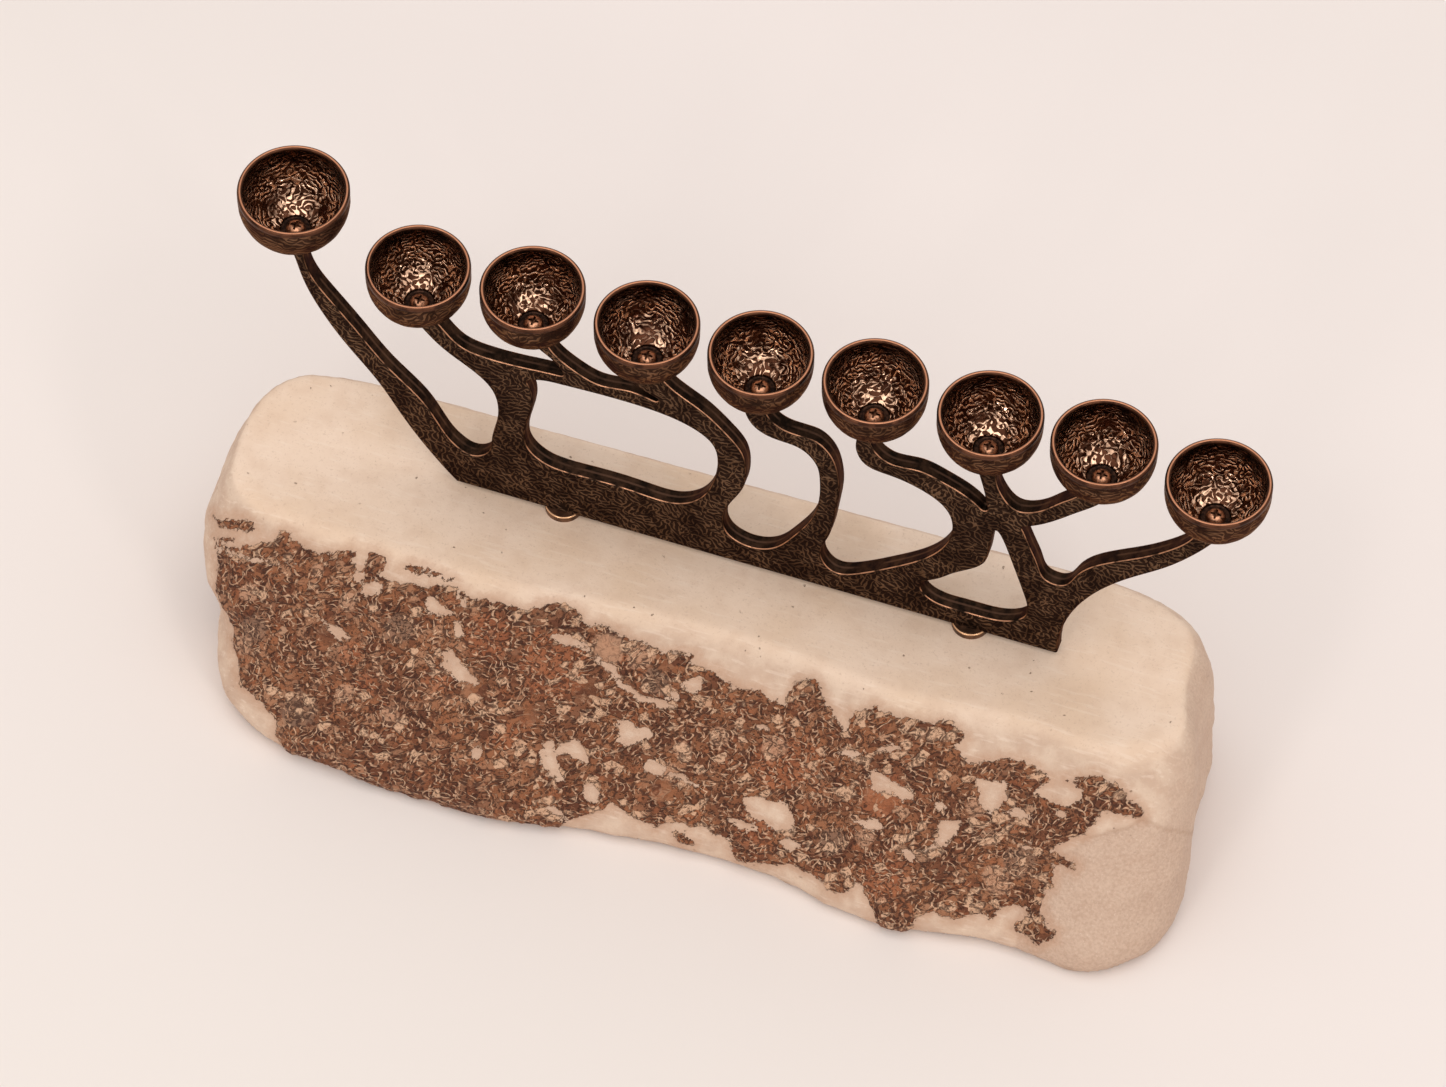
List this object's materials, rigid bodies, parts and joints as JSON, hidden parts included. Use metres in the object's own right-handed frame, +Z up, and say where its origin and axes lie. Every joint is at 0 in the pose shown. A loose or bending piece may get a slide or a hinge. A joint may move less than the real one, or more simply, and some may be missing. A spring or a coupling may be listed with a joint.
{
  "type": "menorah",
  "caption": "Branched bronze candle holder with a row of screwed-on bowls, one raised, standing on a rough limestone block with a polished top.",
  "frame": {"origin": "middle of the whole footprint, level with the underside of the felt pads", "axes": "+X along the row of lights, away from the raised light; +Y from the front to the back; +Z up"},
  "size_m": [0.4368, 0.15, 0.2561],
  "materials": {
    "limestone": "polished top, split sides with a brown crust on the front",
    "dark_bronze": "cast relief, dark patina, copper worn through on the edges",
    "bowl_bronze": "dark patina outside, hammered inside, polished rim",
    "worn_bronze": "worn satin",
    "copper": "polished dome",
    "zinc_steel": "zinc plated",
    "felt": "pressed felt"
  },
  "bodies": {
    "root": {"anchor_nuts": "zinc_steel", "anchor_studs": "zinc_steel", "anchor_washers": "zinc_steel", "bowl_screws": "copper", "branch_frame": "dark_bronze", "felt_pad_back_left": "felt", "felt_pad_back_right": "felt", "felt_pad_front_left": "felt", "felt_pad_front_right": "felt", "foot_spacer_left": "worn_bronze", "foot_spacer_right": "worn_bronze", "light_1_bowl": "bowl_bronze", "light_2_bowl": "bowl_bronze", "light_3_bowl": "bowl_bronze", "light_4_bowl": "bowl_bronze", "light_5_bowl": "bowl_bronze", "light_6_bowl": "bowl_bronze", "light_7_bowl": "bowl_bronze", "light_8_bowl": "bowl_bronze", "server_bowl": "bowl_bronze", "stone_base": "limestone"}
  },
  "joints": []
}
